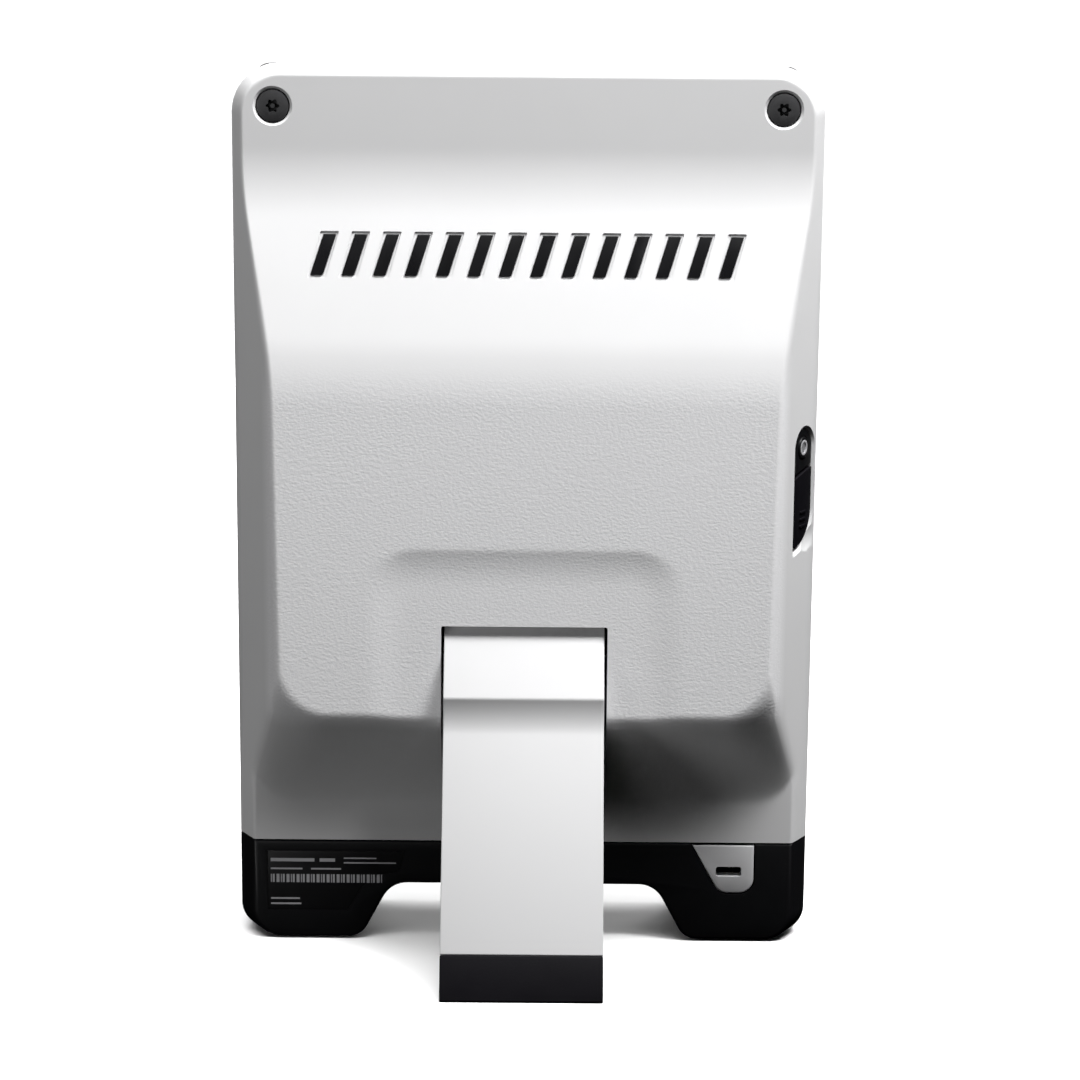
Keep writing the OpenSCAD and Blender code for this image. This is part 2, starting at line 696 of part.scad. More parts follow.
front_housing();
rear_cover();
base_cover();
case_seal();
case_screws();
base_screws();
foot_pads();
radome_cover();
display_window();
window_tape();
camera_window();
display_panel();
display_frame();
chassis_plate();
chassis_screws();
radar_board();
radar_patches();
radar_shield();
main_board();
board_chips();
board_screws();
heat_sink();
wireless_module();
battery_pack();
battery_tray();
battery_screws();
camera_barrel();
camera_lens();
camera_board();
hinge_bracket();
bracket_screws();
hinge_pin();
friction_washers();
pin_clips();
leg();
leg_plate();
leg_plate_screws();
leg_foot();
side_tray();
power_button();
power_ring();
power_switch();
side_board();
usb_port();
port_door();
lock_plate();
rating_plate();
badge_bars();
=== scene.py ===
"""Looks of the portable launch monitor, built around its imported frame.

Shapes are worked out in millimetres in the case's own terms: x to the right seen from behind, z up,
and depth counted backwards from the joint plane between the front housing and the rear cover.
"""

import math

import bmesh
import bpy
import numpy as np
from mathutils import Matrix, Vector


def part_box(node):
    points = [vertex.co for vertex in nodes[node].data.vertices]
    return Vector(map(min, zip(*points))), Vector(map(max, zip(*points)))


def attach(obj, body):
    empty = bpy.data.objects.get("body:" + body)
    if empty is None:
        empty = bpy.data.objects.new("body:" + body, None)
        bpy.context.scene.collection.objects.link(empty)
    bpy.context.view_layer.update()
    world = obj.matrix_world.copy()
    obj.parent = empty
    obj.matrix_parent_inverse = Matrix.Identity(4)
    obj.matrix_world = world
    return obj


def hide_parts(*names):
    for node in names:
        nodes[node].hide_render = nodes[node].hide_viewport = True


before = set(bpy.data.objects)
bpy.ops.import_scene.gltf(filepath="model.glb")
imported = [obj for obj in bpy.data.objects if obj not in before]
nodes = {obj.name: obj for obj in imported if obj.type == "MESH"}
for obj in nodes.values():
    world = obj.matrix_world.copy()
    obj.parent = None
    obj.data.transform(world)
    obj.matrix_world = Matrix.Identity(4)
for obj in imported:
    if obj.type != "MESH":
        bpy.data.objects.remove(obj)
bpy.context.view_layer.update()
MM = 0.001


def box_mm(node):
    """Lowest and highest corner of a CAD node, in millimetres."""
    low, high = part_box(node)
    return low / MM, high / MM


# ---------------------------------------------------------------- sizes, in millimetres

HOUSING_LOW, HOUSING_HIGH = box_mm("front_housing")
BASE_LOW = box_mm("base_cover")[0]
JOINT_Y = HOUSING_LOW.y  # y of the joint plane
HALF_W = HOUSING_HIGH.x
CASE_H = HOUSING_HIGH.z
BASE_H = HOUSING_LOW.z
FRONT_DEPTH = HOUSING_HIGH.y - JOINT_Y
LOWER_DEPTH = JOINT_Y - BASE_LOW.y
BULGE_DEPTH = JOINT_Y - box_mm("rear_cover")[0].y
WALL = 2.6
CORNER_R = 14
DRAFT = math.radians(30)
SLOPE = math.tan(DRAFT)
SEAM = 0.12  # half of the gap seen along the joints
BEYOND = 40  # depth of cuts that run out of the case's back

# Rear cover: the thin upper part, the ramp, the bulge and the shallow dish above the leg
UPPER_DEPTH = 5
RAMP_Z, RAMP_DEPTH, RAMP_SLOPE = 209, 8, 0.283  # a point of the ramp, and its fall per millimetre
FACE_SLOPE = 0.0357
BULGE_Z, UNDERSIDE_Z = 70, 42  # lower edge of the face, and where the underside ends
BULGE_R = 13.5
FOOT_R = 12  # corner radius where the bulge meets the lower plane
DISH_TOP, DISH_HALF, DISH_DEPTH, DISH_R = 118.6, 44.5, 0.75, 14
DISH_RISE, DISH_FADE = 10, 13  # width of the dish's upper edge, and of its fainter sides

# Leg: a is measured behind the pivot and b below it, with the leg folded
PIVOT_Z, PIVOT_DEPTH, LEG_ANGLE = 91.5, 6.4, math.radians(24)
LEG_W = box_mm("leg")[1].x * 2
WELL_HALF = LEG_W / 2 + 0.9
WELL_LINING = 2.2  # thickness of the cover's walls around the leg's well
PLATE_A, BLADE_T, KNUCKLE_A, KNUCKLE_B, FOOT_B = 11.8, 7, 15, 21, 92.3
INNER_A = PLATE_A - BLADE_T  # the blade's inner face
COVE_LENGTH = 9.5  # of the step below the knuckle
KNUCKLE_TILT = math.radians(5)  # how far the knuckle's face turns up from the blade's
HEAD_R = KNUCKLE_A * math.cos(KNUCKLE_TILT) - KNUCKLE_B * math.sin(KNUCKLE_TILT)
HEAD_GAP = 1.5
LEG_BORE_R, PIN_WAY_R = 3.05, 3.4

# Upper screws
SCREW_X, SCREW_Z, SCREW_HEAD_R, SCREW_SHAFT_R = 70.7, 240.2, 4.5, 1.45
SCREW_SEAT = 2.2  # depth of the shelf under the screw's head
SOCKET_R, SOCKET_LOBE, SOCKET_POST_R = 1.65, 0.28, 0.62

# Side controls, placed along the drafted right wall
SIDE_DEPTH, SIDE_HALF, SIDE_Z0, SIDE_Z1 = 6.6, 5.75, 116.4, 151.6
BUTTON_Z, BUTTON_R = 146, 3.1
MARK_R0, MARK_R1 = 1.5, 2.2  # inner and outer radius of the button's ring
SPLIT_Z, SPLIT_SLOPE = 138.8, 2 / 9  # height and slope of the line above the door
RIB_HALF_W, RIB_HALF_H, RIB_ROWS = 1.9, 0.35, (123.6, 125.6, 127.6)
SCOOP_R, SCOOP_OUT = 12.5, 11.7  # the sphere that hollows the opening's lower corner

BAR_COUNT, BAR_PITCH, BAR_W, BAR_H, BAR_LEAN, BAR_Z = 14, 8.7, 3.4, 11.5, 3.6, 199.85
ARCH_H, ARCH_HALF = 17, 36
BASE_BOTTOM, BASE_R = BASE_LOW.z, 8
BASE_BOSSES = [(x, y) for x in (-66, 66) for y in (7, 21)]
PAD_X, PAD_Y, PAD_HALF_W, PAD_HALF_L, PAD_R = 64.5, 11, 11.15, 13.15, 4

# Front
EDGE_R = 3.0
FACE_MARGIN, FACE_RECESS, FACE_T = 5, 2, 5
PANEL_GAP = 0.2
RADOME_Z0, RADOME_Z1 = 36, 163
CAMERA_Z, CAMERA_R = 152, 9
WINDOW_WAY = (-62, 169, 62, 237)
RADAR_WAY = (-66, 46, 66, 138)
POSTS = [(x, z) for x in (-71.5, 71.5) for z in (52, 108, 178, 226)]
SEAL_IN, SEAL_OUT, SEAL_DEPTH = 0.78, 1.92, 1.62

BACK, UP, RIGHT = Vector((0, -1, 0)), Vector((0, 0, 1)), Vector((1, 0, 0))
OUT = Vector((math.cos(DRAFT), -math.sin(DRAFT), 0))  # out of the drafted right wall


def at(x, depth, z):
    """A point given in the case's terms, in metres."""
    return Vector((x, JOINT_Y - depth, z)) * MM


def under(x, y, z):
    """A point of the base, with y forwards from the joint plane, in metres."""
    return Vector((x, y + JOINT_Y, z)) * MM


def on_leg(x, a, b):
    """A point of the opened leg: a behind and b below the pivot when the leg is folded."""
    c, s = math.cos(LEG_ANGLE), math.sin(LEG_ANGLE)
    return at(x, PIVOT_DEPTH + a * c + b * s, PIVOT_Z + a * s - b * c)


def on_side(out, forward, z):
    """A point by the side controls: out of the drafted right wall, forwards along it, and up."""
    c, s = math.cos(DRAFT), math.sin(DRAFT)
    x = HALF_W - SIDE_DEPTH * SLOPE + out * c + forward * s
    return at(x, SIDE_DEPTH + out * s - forward * c, z)


def on_ramp(x, out, up):
    """A point by the middle of the ramp behind the badge: across, out of it, and up along it."""
    tilt = math.atan(RAMP_SLOPE)
    c, s = math.cos(tilt), math.sin(tilt)
    depth = RAMP_DEPTH + (RAMP_Z - BAR_Z) * RAMP_SLOPE
    return at(x, depth + out * c - up * s, BAR_Z + out * s + up * c)


# ---------------------------------------------------------------- outlines

def arc(x, y, r, start, end, steps=12):
    """Points along an arc about (x, y), with angles in degrees."""
    angles = [math.radians(start + (end - start) * i / steps) for i in range(steps + 1)]
    return [(x + r * math.cos(t), y + r * math.sin(t)) for t in angles]


def round_box(x0, y0, x1, y1, r, steps=8):
    """Rounded rectangle, counter-clockwise."""
    return (
        arc(x1 - r, y0 + r, r, -90, 0, steps)
        + arc(x1 - r, y1 - r, r, 0, 90, steps)
        + arc(x0 + r, y1 - r, r, 90, 180, steps)
        + arc(x0 + r, y0 + r, r, 180, 270, steps)
    )


def case_outline(inset, z_low):
    """The case from behind: round upper corners, square at the bottom."""
    w, top, r = HALF_W - inset, CASE_H - inset, max(CORNER_R - inset, 1.5)
    return (
        [(-w, z_low), (w, z_low)]
        + arc(w - r, top - r, r, 0, 90, 20)
        + arc(r - w, top - r, r, 90, 180, 20)
    )


def base_outline(inset, grow, top):
    """The base from behind, with the arch between its feet grown by grow."""
    w, low = HALF_W - inset, BASE_BOTTOM + grow
    arch_r, heel_r, flank = 8, 6, 28.6
    foot_x = ARCH_HALF + 14.7
    right = (
        arc(ARCH_HALF - 2.5, ARCH_H - arch_r, arch_r + grow, 90, flank, 8)
        + arc(foot_x, BASE_BOTTOM + heel_r, heel_r - grow, 180 + flank, 270, 8)
        + arc(w - BASE_R, low + BASE_R, BASE_R, -90, 0, 12)
        + [(w, top)]
    )
    return right + [(-x, z) for x, z in reversed(right)]


def side_outline(grow, top=None):
    """The side controls' outline as (forwards, z), whole, or cut along the split line above the door."""
    w = SIDE_HALF + grow
    heel = SIDE_Z0 + 12
    lower = arc(1 - w, heel - 2 * w + 1, 1, 180, 270, 4) + arc(-w, heel, 2 * w, -82, 0, 16)
    if top is None:
        return lower + arc(0, SIDE_Z1 + grow - w, w, 0, 180, 20)
    return lower + [(v, SPLIT_Z + top + v * SPLIT_SLOPE) for v in (w, -w)]


# ---------------------------------------------------------------- mesh tools

def link(name, bm):
    """Makes an object of a bmesh, in the scene."""
    bmesh.ops.recalc_face_normals(bm, faces=bm.faces)
    mesh = bpy.data.meshes.new(name)
    bm.to_mesh(mesh)
    bm.free()
    obj = bpy.data.objects.new(name, mesh)
    bpy.context.scene.collection.objects.link(obj)
    return obj


def smooth(obj, angle=32):
    """Smooth shading, with edges sharper than the angle kept."""
    obj.data.shade_smooth()
    obj.data.set_sharp_from_angle(angle=math.radians(angle))
    return obj


def loft(name, loops, edge=0.0, corners=0.0):
    """A closed solid through loops of the same number of points. Its two rims are rounded by edge, and
    the long edges at its outline's corners by corners, in millimetres."""
    bm = bmesh.new()
    rings = [[bm.verts.new(p) for p in loop] for loop in loops]
    n = len(rings[0])
    for low, high in zip(rings, rings[1:]):
        for i in range(n):
            bm.faces.new((low[i], low[(i + 1) % n], high[(i + 1) % n], high[i]))
    caps = [bm.faces.new(list(reversed(rings[0]))), bm.faces.new(rings[-1])]
    bmesh.ops.recalc_face_normals(bm, faces=bm.faces)
    rims = {e for cap in caps for e in cap.edges}
    long_edges = [e for e in bm.edges if e not in rims and e.calc_face_angle(0) > math.radians(30)]
    if corners:
        bevel(bm, long_edges, corners)
        rims = {e for e in bm.edges if e.calc_face_angle(0) > math.radians(50)}
    if edge:
        bevel(bm, list(rims), edge)
    return link(name, bm)


def bevel(bm, edges, width):
    """Rounds edges of a bmesh over a width in millimetres."""
    bmesh.ops.bevel(
        bm, geom=edges, offset=width * MM, segments=3, profile=0.5, affect="EDGES", clamp_overlap=True,
    )


def prism(name, outline, place, low, high, edge=0.0, corners=0.0):
    """A solid between two copies of an outline. place(u, v, t) puts a point at height t."""
    return loft(name, [[place(u, v, t) for u, v in outline] for t in (low, high)], edge, corners)


def slab(name, outline, d0, d1, edge=0.0, corners=0.0):
    """A prism along the depth, with its outline seen from behind."""
    return prism(name, outline, lambda x, z, d: at(x, d, z), d0, d1, edge, corners)


def turned(name, profile, centre, axis, steps=48):
    """A solid of revolution: profile is (radius, distance along the axis), from end to end."""
    spin = axis.normalized().to_track_quat("Z", "Y").to_matrix()
    bm = bmesh.new()
    rings = []
    for r, h in profile:
        angles = [2 * math.pi * i / steps for i in range(steps)]
        ring = [Vector((r * math.cos(t), r * math.sin(t), h)) * MM for t in angles]
        rings.append([bm.verts.new(centre + spin @ p) for p in ring])
    for low, high in zip(rings, rings[1:]):
        for i in range(steps):
            bm.faces.new((low[i], low[(i + 1) % steps], high[(i + 1) % steps], high[i]))
    bm.faces.new(list(reversed(rings[0])))
    bm.faces.new(rings[-1])
    return link(name, bm)


def rod(name, centre, axis, r, low, high, steps=32):
    """A cylinder between two distances along the axis."""
    return turned(name, [(r, low), (r, high)], centre, axis, steps)


def combine(target, others, operation="DIFFERENCE"):
    """Cuts others out of target, or joins them to it, and removes them."""
    for other in others:
        step = target.modifiers.new("combine", "BOOLEAN")
        step.operation = operation
        step.solver = "MANIFOLD"
        step.object = other
        bpy.context.view_layer.update()
        made = bpy.data.meshes.new_from_object(target.evaluated_get(bpy.context.evaluated_depsgraph_get()))
        target.modifiers.clear()
        target.data = made
        bpy.data.objects.remove(other)
    return target


# ---------------------------------------------------------------- rear cover

def soft_min(a, b, k):
    """The lower of two fields, rounded over k where they cross."""
    h = np.maximum(k - np.abs(a - b), 0) / k
    return np.minimum(a, b) - h * h * k / 4


def soft_max(a, b, k):
    """The higher of two fields, rounded over k where they cross."""
    return -soft_min(-a, -b, k)


def blend_step(t):
    """Runs smoothly from 0 to 1 as t does."""
    t = np.clip(t, 0, 1)
    return t * t * (3 - 2 * t)


def ease(t):
    """Rises quickly from 0 and settles level at 1."""
    return 1 - (1 - np.clip(t, 0, 1)) ** 2


def inside_box(ax, z, half, top, r):
    """Distance inside a box that is symmetric about x = 0, has no bottom and has round upper corners."""
    qx, qz = ax - half + r, z - top + r
    return r - np.hypot(np.maximum(qx, 0), np.maximum(qz, 0)) - np.minimum(np.maximum(qx, qz), 0)


def bulge_wall(ax, z):
    """Depth of the bulge's side walls and underside. The outline widens from the face to the foot in
    steps of s, and s is found by halving."""
    face_half = HALF_W - BULGE_DEPTH * SLOPE
    foot_half = HALF_W - LOWER_DEPTH * SLOPE

    def corner(s):
        cx = (face_half - BULGE_R) * (1 - s) + (foot_half - FOOT_R) * s
        cz = (BULGE_Z + BULGE_R) * (1 - s) + (UNDERSIDE_Z + FOOT_R) * s
        return ax - cx, cz - z, BULGE_R * (1 - s) + FOOT_R * s

    low, high = np.full(ax.shape, -3.0), np.full(ax.shape, 4.0)
    for _ in range(40):
        s = (low + high) / 2
        qx, qz, r = corner(s)
        outside = np.hypot(np.maximum(qx, 0), np.maximum(qz, 0)) + np.minimum(np.maximum(qx, qz), 0) > r
        low, high = np.where(outside, s, low), np.where(outside, high, s)
    qx, qz, _ = corner(s)
    down = np.maximum(qz, 0) ** 2 / (np.maximum(qx, 0) ** 2 + np.maximum(qz, 0) ** 2 + 1e-9)
    cove = np.where(s < 0, s * 1.5, 1 - np.maximum(1 - s, 0) ** 1.5)
    return BULGE_DEPTH - (BULGE_DEPTH - LOWER_DEPTH) * (s * (1 - down) + cove * down)


def rear_depth(x, z, inset=0.0):
    """Depth of the rear cover's surface at x and z, moved in by inset."""
    ax = np.abs(x)
    wall = inside_box(ax, z, HALF_W, CASE_H, CORNER_R) / SLOPE - inset / math.sin(DRAFT)
    ramp = RAMP_DEPTH + (RAMP_Z - z) * RAMP_SLOPE
    face = BULGE_DEPTH - (z - BULGE_Z) * FACE_SLOPE
    dish = ease(inside_box(ax, z, DISH_HALF, DISH_TOP, DISH_R) / DISH_RISE)
    dish = dish * ease((DISH_HALF - ax) / DISH_FADE)
    middle = soft_max(soft_min(ramp, face - DISH_DEPTH * dish, 2.2), UPPER_DEPTH, 2.6) - inset
    sides = np.minimum(bulge_wall(ax, z) - inset / math.sin(DRAFT), wall)
    edge = 1.1 + 0.9 * blend_step((RAMP_Z - z) / 30)
    plate = LOWER_DEPTH + (UPPER_DEPTH - LOWER_DEPTH) * blend_step((z - 84) / 10) - inset
    return np.maximum(soft_min(middle, sides, edge), soft_min(plate, wall, 1.1))


def spread(stops):
    """Values from (value, spacing) stops: each stretch is divided at its own spacing."""
    values = [stops[0][0]]
    for (a, _), (b, spacing) in zip(stops, stops[1:]):
        n = max(1, round(abs(b - a) / spacing))
        values += [a + (b - a) * (i + 1) / n for i in range(n)]
    return values


def rear_solid(name, inset, lid, fine):
    """A closed solid between the rear surface, moved in by inset, and the depth lid."""
    z_low = BASE_H + SEAM + inset
    top = CASE_H - 2 * inset * SLOPE
    rows = spread([
        (z_low, 1), (66, 1.1 * fine), (73, 0.45 * fine), (86, 0.55 * fine), (112, 1.4 * fine),
        (120, 0.8 * fine), (164, 1.6 * fine), (238, 1.2 * fine), (top - 4, 0.6 * fine),
        (top - 1, 0.35 * fine), (top, 0.3 * fine),
    ])
    half_columns = round(34 / fine)
    bm = bmesh.new()
    grid = []
    for z in rows:
        r = CORNER_R - 2 * inset * SLOPE
        climb = max(z - (top - r), 0)
        width = HALF_W - 2 * inset * SLOPE - r + math.sqrt(max(r * r - climb * climb, 0))
        middle = float(rear_depth(np.array([0.0]), np.array([max(z, BULGE_Z)]))[0])
        below = min(max((BULGE_Z - z) / (BULGE_Z - UNDERSIDE_Z), 0), 1)
        crease = (middle + (LOWER_DEPTH - middle) * below) * SLOPE
        share = np.concatenate([
            np.linspace(0, crease - 1.5, max(3, round(6 / fine)), endpoint=False),
            np.linspace(crease - 1.5, crease + 1.5, max(4, round(10 / fine)), endpoint=False),
            np.linspace(crease + 1.5, crease + 18, max(4, round(24 / fine)), endpoint=False),
            np.linspace(crease + 18, width, half_columns),
        ])
        xs = np.concatenate([share - width, (width - share)[::-1][1:]])
        depth = np.maximum(rear_depth(xs, np.full(xs.shape, z), inset), SEAM)
        grid.append([bm.verts.new(at(x, d, z)) for x, d in zip(xs, depth)])
    for low, high in zip(grid, grid[1:]):
        for i in range(len(low) - 1):
            bm.faces.new((low[i], low[i + 1], high[i + 1], high[i]))
    rim = grid[0] + [row[-1] for row in grid[1:-1]] + grid[-1][::-1] + [row[0] for row in grid[-2:0:-1]]
    foot = [bm.verts.new((v.co.x, (JOINT_Y - lid) * MM, v.co.z)) for v in rim]
    for i in range(len(rim)):
        j = (i + 1) % len(rim)
        bm.faces.new((rim[i], rim[j], foot[j], foot[i]))
    bm.faces.new(foot)
    return link(name, bm)


def leg_well(extra):
    """The space behind the case that the leg's head and blade sweep, as solids to cut."""
    w = WELL_HALF + extra
    pivot = at(0, PIVOT_DEPTH, PIVOT_Z)
    slot_top = PIVOT_Z + 5.4 + extra
    head = rod("well_head", pivot, RIGHT, HEAD_R + HEAD_GAP + extra, -w, w, 96)
    channel = slab("well_channel", round_box(-w, BASE_H - 5, w, PIVOT_Z, 0.4, 2), LOWER_DEPTH - extra,
                   BEYOND)
    mouth = slab("well_mouth", round_box(-w, PIVOT_Z - 6, w, slot_top, 0.6, 3), PIVOT_DEPTH + HEAD_R - 1.2,
                 BEYOND)
    return [head, channel, mouth]


def bar_outline(i, grow):
    """One slanted bar of the badge as (across, up)."""
    x = (i - (BAR_COUNT - 1) / 2) * BAR_PITCH
    w, h, lean = BAR_W / 2 + grow, BAR_H / 2 + grow, BAR_LEAN / 2
    return [(x - lean - w, -h), (x - lean + w, -h), (x + lean + w, h), (x + lean - w, h)]


def make_rear_cover():
    """The hollow rear shell, with its well, counterbores, side opening and badge pockets."""
    shell = rear_solid("rear_shell", 0, 0, 1)
    cavity = rear_solid("cavity", WALL, -1, 3)
    screw_points = [at(s * SCREW_X, 0, SCREW_Z) for s in (-1, 1)]
    keep = leg_well(WELL_LINING)
    keep += [rod("boss", p, BACK, 5.6, -0.5, 9) for p in screw_points]
    keep.append(prism("side_lining", side_outline(1.6), lambda v, z, t: on_side(t, v, z), -7, 4))
    combine(cavity, keep)
    combine(shell, [cavity])
    combine(shell, leg_well(0))
    cuts = [rod("pin_way", at(0, PIVOT_DEPTH, PIVOT_Z), RIGHT, PIN_WAY_R, -31, 31)]
    r, through_r, chamfer_r = SCREW_HEAD_R + 0.3, SCREW_SHAFT_R + 0.3, SCREW_HEAD_R + 1.1
    bore = [(through_r, -3), (through_r, SCREW_SEAT), (r, SCREW_SEAT), (r, UPPER_DEPTH - 0.55),
            (chamfer_r, UPPER_DEPTH + 0.1), (chamfer_r, 9)]
    cuts += [turned("counterbore", bore, p, BACK, 64) for p in screw_points]
    side_loops = [(0.1, -12), (0.1, -0.75), (0.75, 0.02), (0.75, 9)]
    cuts.append(loft("side_way", [[on_side(t, v, z) for v, z in side_outline(g)] for g, t in side_loops]))
    ball = [(SCOOP_R * math.sin(t), -SCOOP_R * math.cos(t)) for t in np.linspace(0.02, math.pi - 0.02, 40)]
    cuts.append(turned("scoop", ball, on_side(SCOOP_OUT, 1.9, SIDE_Z0 + 3.9), OUT, 64))
    for i in range(BAR_COUNT):
        for grow, floor in ((0.85, -0.45), (0.15, -0.8)):
            cuts.append(prism("bar_pocket", bar_outline(i, grow), lambda x, u, t: on_ramp(x, t, u), floor, 3,
                              0, 0.3))
    combine(shell, cuts)
    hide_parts("rear_cover")
    return dress(shell, "case", textured_white_painted_light)


# ---------------------------------------------------------------- front housing and base

def make_front_housing():
    """The hollow front shell, with the posts and bores that its screws need."""
    turn = [math.radians(a) for a in range(0, 91, 15)]
    loops = [(EDGE_R - EDGE_R * math.sin(t), EDGE_R - EDGE_R * math.cos(t) - FRONT_DEPTH) for t in turn]
    loops += [(0, -SEAM - 0.2), (0.2, -SEAM)]
    shell = loft("front_shell", [[at(x, d, z) for x, z in case_outline(i, BASE_H + SEAM)] for i, d in loops])
    cavity = slab("cavity", case_outline(WALL, BASE_H + WALL), FACE_T - FRONT_DEPTH, 1)
    post_r, floor = 3.4, 4 - FRONT_DEPTH
    keep = [rod("post", at(x, 0, z), BACK, post_r, floor, -17) for x, z in POSTS]
    keep += [rod("boss", at(s * SCREW_X, 0, SCREW_Z), BACK, 4, floor, 2) for s in (-1, 1)]
    keep += [rod("boss", under(x, y, BASE_H), UP, post_r, 1, 11.6) for x, y in BASE_BOSSES]
    combine(cavity, keep)
    front, inside = -FRONT_DEPTH - 1, FACE_T + 1 - FRONT_DEPTH
    cuts = [
        cavity,
        slab("recess", case_outline(FACE_MARGIN, RADOME_Z0 - 1), front, FACE_RECESS - FRONT_DEPTH),
        slab("window_way", round_box(*WINDOW_WAY, 3), front, inside),
        slab("radar_way", round_box(*RADAR_WAY, 4), front, inside),
        rod("camera_way", at(0, -FRONT_DEPTH, CAMERA_Z), BACK, CAMERA_R - 1, -1, FACE_T + 1),
    ]
    cuts += [rod("bore", at(x, 0, z), BACK, 1.25, -22.5, 1) for x, z in POSTS]
    cuts += [rod("bore", at(s * SCREW_X, 0, SCREW_Z), BACK, 1.5, -20, 3) for s in (-1, 1)]
    cuts += [rod("bore", under(x, y, 0), UP, 1.5, BASE_H - 1, BASE_H + 12) for x, y in BASE_BOSSES]
    groove = slab("groove", case_outline(SEAL_IN, BASE_H + SEAL_IN), -SEAL_DEPTH, 1)
    combine(groove, [slab("groove_core", case_outline(SEAL_OUT, BASE_H + SEAL_OUT), -3, 3)])
    combine(shell, cuts + [groove])
    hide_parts("front_housing")
    return dress(shell, "case", smooth_white)


def make_base():
    """The black base, hollow, with its screw tubes and the pockets for the pads and plates."""
    taper = LOWER_DEPTH * SLOPE
    loops = [(0, -FRONT_DEPTH), (0, 0), (taper, LOWER_DEPTH)]
    base = loft("base_shell", [[at(x, d, z) for x, z in base_outline(i, 0, BASE_H - SEAM)] for i, d in loops],
                edge=1.0)
    core = [(WALL, WALL - FRONT_DEPTH), (WALL, 0), (WALL + taper, LOWER_DEPTH - WALL)]
    cavity = loft("cavity", [[at(x, d, z) for x, z in base_outline(i, WALL, BASE_H + 4)] for i, d in core])
    combine(cavity, [rod("tube", under(x, y, 0), UP, 4.2, 0, BASE_H - 0.2) for x, y in BASE_BOSSES])
    cuts = [cavity]
    for x, y in BASE_BOSSES:
        cuts.append(rod("screw_well", under(x, y, 0), UP, 3.2, -1, 3.6))
        cuts.append(rod("screw_way", under(x, y, 0), UP, 1.75, -1, BASE_H + 10))
    for x in (-PAD_X, PAD_X):
        pocket = round_box(x - PAD_HALF_W, PAD_Y - PAD_HALF_L, x + PAD_HALF_W, PAD_Y + PAD_HALF_L, PAD_R)
        cuts.append(prism("pad_pocket", pocket, under, -1, 1.4))
    cuts.append(slab("lock_pocket", lock_outline(0.3), 5, 9))
    cuts.append(slab("label_pocket", rating_outline(0.15), LOWER_DEPTH - 0.35, 9))
    combine(base, cuts)
    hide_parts("base_cover")
    return dress(base, "case", black_plastic)


def lock_outline(grow):
    """The grey plate's outline: a flat top, a slanted left side and a round foot."""
    top = BASE_H - 0.7
    return (
        [(67 + grow, top + grow), (48.9 - grow, top + grow)]
        + arc(59.4, 19, 4.2 + grow, 205, 270, 8)
        + arc(62.8, 19, 4.2 + grow, 270, 360, 8)
    )


def rating_outline(grow):
    """The label's outline, which follows the arch on its right."""
    left, low, top = -74 - grow, 9 - grow, 26.6 + grow
    arch_side = [(-51, low), (-47, 16 - grow), (-42, 19.6 - grow), (-36, 20.8 - grow), (-34.5, top)]
    return [(left, low)] + [(x + grow, z) for x, z in arch_side] + [(left, top)]


def make_lock_plate():
    """The grey plate with the slot for a cable lock."""
    plate = slab("lock_anchor", lock_outline(0), 4.2, LOWER_DEPTH - 0.02, edge=0.5)
    slot = [slab("slot", round_box(56, 19.9, 63.4, 22.8, 0.7), 0, 9)]
    combine(plate, slot)
    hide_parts("lock_plate")
    return dress(plate, "case", lock_grey)


def bars_of(name, rects, d0, d1):
    """Flat rectangles, as one piece standing from depth d0 to d1."""
    bm = bmesh.new()
    for x0, z0, x1, z1 in rects:
        ring = [[bm.verts.new(at(x, d, z)) for x, z in ((x0, z0), (x1, z0), (x1, z1), (x0, z1))]
                for d in (d0, d1)]
        for i in range(4):
            j = (i + 1) % 4
            bm.faces.new((ring[0][i], ring[0][j], ring[1][j], ring[1][i]))
        bm.faces.new(ring[0][::-1])
        bm.faces.new(ring[1])
    return link(name, bm)


def make_rating_plate():
    """The black label, with plain bars and stripes that say nothing."""
    label = slab("rating_label", rating_outline(0), LOWER_DEPTH - 0.3, LOWER_DEPTH + 0.02, edge=0.05)
    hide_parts("rating_plate")
    dress(label, "case", label_black)
    margin = -73.2
    stripes, x = [], margin
    for i in range(34):
        w = 0.3 + 0.28 * ((i * 7) % 3)
        stripes.append((x, 17.1, x + w, 19.6))
        x += w + 0.25 + 0.14 * ((i * 5) % 3)
    lines = [(margin, 23.4, -60.5, 24.4), (-59, 23.4, -54.5, 24.4), (margin, 21.0, -64, 21.5),
             (-61.5, 21.0, -52.8, 21.5), (-52, 24.3, -42.5, 24.7), (-52, 22.9, -36.8, 23.3),
             (margin, 12.0, -64.8, 12.5), (margin, 10.4, -64.4, 10.9)]
    marks = bars_of("rating_marks", stripes + lines, LOWER_DEPTH - 0.1, LOWER_DEPTH + 0.05)
    return dress(marks, "case", mark_white)


# ---------------------------------------------------------------- leg

def leg_outline():
    """The leg's profile as (a, b): its round head, the knuckle, the cove below it and the blade."""
    cove = [(PLATE_A + (KNUCKLE_A - PLATE_A) * (1 - k) ** 1.8, KNUCKLE_B + 0.5 + COVE_LENGTH * k)
            for k in np.linspace(0, 1, 16)]
    head = arc(0, 0, HEAD_R, -90, -math.degrees(KNUCKLE_TILT), 24)
    back = arc(0, 0, 6.6, 180, 270, 10)
    return back + head + [(KNUCKLE_A, KNUCKLE_B)] + cove + [
        (PLATE_A, FOOT_B - 0.05), (INNER_A, FOOT_B - 0.05), (INNER_A, 16), (2, 14), (-4, 9), (-6.6, 3)]


def sole(a):
    """How far below the folded leg's pivot the floor lies under the opened leg."""
    return (PIVOT_Z + a * math.sin(LEG_ANGLE)) / math.cos(LEG_ANGLE)


